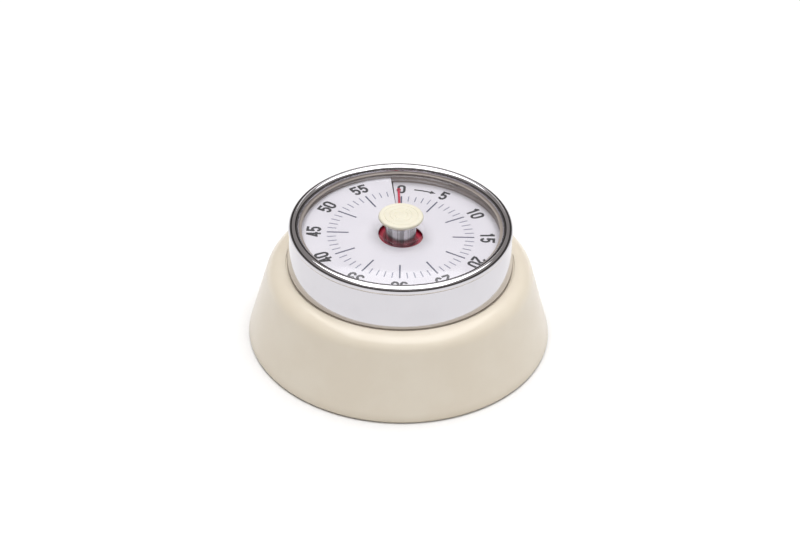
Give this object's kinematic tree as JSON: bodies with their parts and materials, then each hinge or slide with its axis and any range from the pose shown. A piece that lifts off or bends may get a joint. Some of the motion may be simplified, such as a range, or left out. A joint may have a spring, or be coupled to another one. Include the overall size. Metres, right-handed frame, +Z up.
{
  "type": "kitchen timer",
  "caption": "Round clockwork countdown timer: flared enamelled base, chromed drum, printed dial with a red disc that winds out of a slit, and a central knob.",
  "frame": {"origin": "centre of the face the timer stands on", "axes": "+Z up along the spindle, +Y towards the dial's zero"},
  "size_m": [0.07, 0.07, 0.032],
  "materials": {
    "cream_enamel": "gloss stoved enamel on spun steel",
    "base_moulding": "fine spark texture",
    "foot_rubber": "matt moulded ring",
    "plated_steel": "zinc plated, slotted heads",
    "chrome_plate": "mirror plate",
    "satin_grey": "satin anodised, warm grey",
    "clear_window": "clear polished sheet",
    "white_dial": "matt white with dark blue-grey print",
    "rolled_brass": "rolled and lightly brushed sheet",
    "turned_brass": "turned",
    "blued_steel": "blued spring temper",
    "bell_steel": "nickelled, spun lines",
    "cream_plastic": "polished moulding",
    "arbor_steel": "turned and polished",
    "gear_brass": "stamped and polished",
    "white_nylon": "natural nylon",
    "red_sheet": "thin satin sheet",
    "red_moulding": "satin moulding"
  },
  "bodies": {
    "case": {"base_shell": "cream_enamel", "base_plate": "base_moulding", "foot_ring": "foot_rubber", "base_screws": "plated_steel", "chrome_drum": "chrome_plate", "dial_surround": "satin_grey", "window": "clear_window", "window_ring": "satin_grey", "dial_plate": "white_dial", "front_plate": "rolled_brass", "back_plate": "rolled_brass", "pillars": "turned_brass", "plate_screws": "plated_steel", "standoffs": "turned_brass", "case_screws": "plated_steel", "spring_barrel": "rolled_brass", "mainspring": "blued_steel", "bell": "bell_steel", "bell_post": "turned_brass", "bell_screw": "plated_steel", "hammer_spring": "blued_steel"},
    "knob": {"knob_cap": "cream_plastic", "knob_sleeve": "chrome_plate", "spindle": "arbor_steel", "main_wheel": "gear_brass", "ratchet_wheel": "arbor_steel", "click": "arbor_steel", "trip_cam": "white_nylon"},
    "red_disc": {"time_disc": "red_sheet", "disc_hub": "red_moulding", "pointer": "red_sheet"},
    "second_stage": {"second_arbor": "arbor_steel", "second_wheel": "gear_brass"},
    "third_stage": {"third_arbor": "arbor_steel", "third_wheel": "white_nylon"},
    "escape_stage": {"escape_arbor": "arbor_steel", "escape_wheel": "white_nylon"},
    "beat": {"anchor_arbor": "arbor_steel", "anchor": "white_nylon", "balance_bar": "plated_steel"},
    "hammer": {"hammer_arbor": "arbor_steel", "hammer_arm": "arbor_steel", "hammer_head": "gear_brass", "cam_lever": "arbor_steel"}
  },
  "joints": [
    {"name": "knob_turn", "type": "hinge", "parent": "case", "child": "knob", "pos_m": [0, 0, 0.0205], "axis": [0, 0, -1], "range_deg": [0, 354]},
    {"name": "disc_lift", "type": "slide", "parent": "knob", "child": "red_disc", "axis": [0, 0, 1], "range_m": [0, 0.00138]},
    {"name": "second_wheel_turn", "type": "hinge", "parent": "case", "child": "second_stage", "pos_m": [0.01316, 0.00479, 0.009], "axis": [0, 0, -1], "range_deg": [-2130, 0]},
    {"name": "third_wheel_turn", "type": "hinge", "parent": "case", "child": "third_stage", "pos_m": [0.00721, 0.01258, 0.009], "axis": [0, 0, -1], "range_deg": [0, 12780]},
    {"name": "escape_wheel_turn", "type": "hinge", "parent": "case", "child": "escape_stage", "pos_m": [0.00062, 0.01549, 0.009], "axis": [0, 0, -1], "range_deg": [-63900, 0]},
    {"name": "beat_swing", "type": "hinge", "parent": "case", "child": "beat", "pos_m": [-0.00585, 0.01489, 0.009], "axis": [0, 0, 1], "range_deg": [-4, 4]},
    {"name": "hammer_swing", "type": "hinge", "parent": "case", "child": "hammer", "pos_m": [-0.01804, -0.00657, 0.009], "axis": [0, 0, 1], "range_deg": [-12, 0], "stiffness_Nm_per_rad": 0.002}
  ],
  "couplings": [
    {"joint": "disc_lift", "follows": "knob_turn", "m_per_rad": 0.00022282},
    {"joint": "second_wheel_turn", "follows": "knob_turn", "ratio": -6},
    {"joint": "third_wheel_turn", "follows": "knob_turn", "ratio": 36},
    {"joint": "escape_wheel_turn", "follows": "knob_turn", "ratio": -180}
  ]
}
